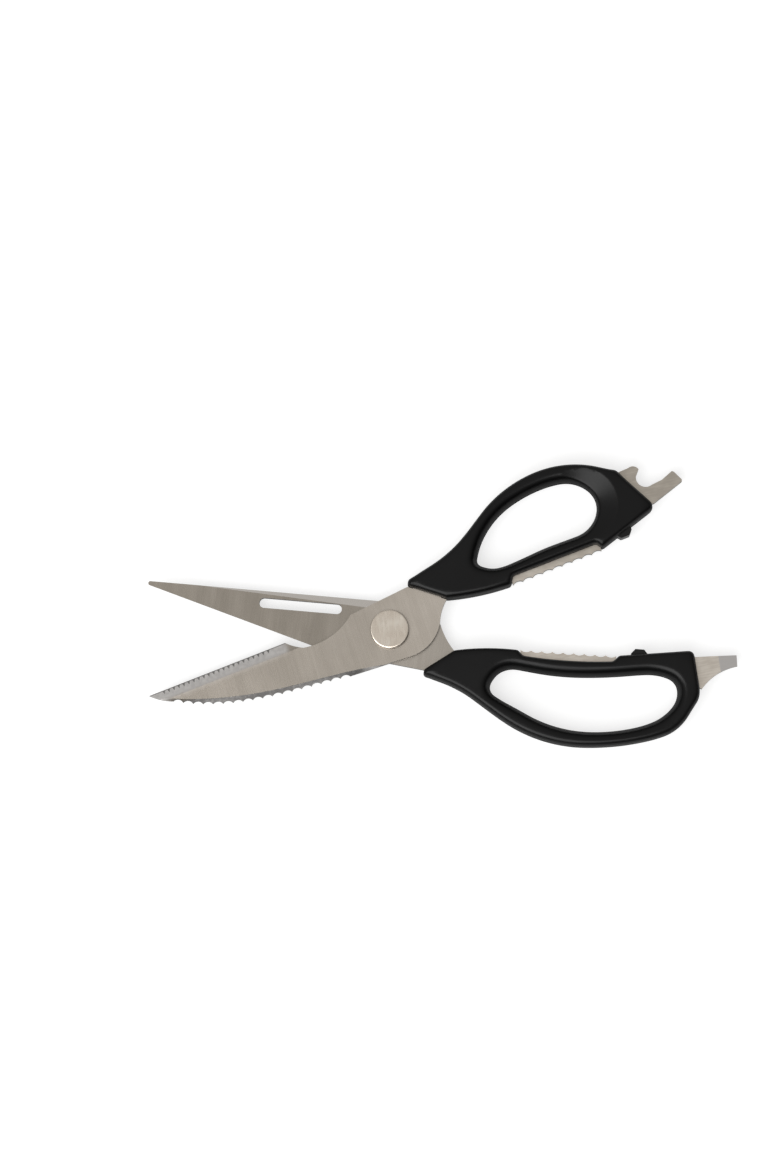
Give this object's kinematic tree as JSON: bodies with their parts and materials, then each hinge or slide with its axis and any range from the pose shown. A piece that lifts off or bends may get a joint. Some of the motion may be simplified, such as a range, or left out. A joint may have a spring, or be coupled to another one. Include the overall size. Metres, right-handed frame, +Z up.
{
  "type": "kitchen shears",
  "caption": "Open kitchen shears: serrated blade with scaling teeth, slotted blade, black bow handles, jaw teeth, bottle opener and screwdriver.",
  "frame": {"origin": "pivot axis where it meets the resting plane, on the flat back of the pivot nut", "axes": "+X from the pivot towards the handles, +Y towards the upper handle, +Z up along the pivot axis towards the bolt head"},
  "size_m": [0.2258, 0.109, 0.012],
  "materials": {
    "blade_steel": "fine brushed, satin",
    "insert_steel": "stamped and brushed",
    "pivot_steel": "turned, satin",
    "washer_steel": "plain",
    "handle_plastic": "moulded, satin black",
    "stop_plastic": "moulded, black"
  },
  "bodies": {
    "back_half": {"back_blade": "blade_steel", "lower_handle_front_shell": "handle_plastic", "lower_handle_back_shell": "handle_plastic", "lower_jaw_insert": "insert_steel", "lower_stop": "stop_plastic", "pivot_bolt": "pivot_steel", "pivot_washer": "washer_steel", "spring_washer": "washer_steel", "pivot_nut": "pivot_steel"},
    "front_half": {"front_blade": "blade_steel", "upper_handle_front_shell": "handle_plastic", "upper_handle_back_shell": "handle_plastic", "upper_jaw_insert": "insert_steel", "upper_stop": "stop_plastic"}
  },
  "joints": [
    {"name": "pivot", "type": "hinge", "parent": "back_half", "child": "front_half", "pos_m": [0, 0, 0], "axis": [0, 0, 1], "range_deg": [-26.2, 60]}
  ]
}
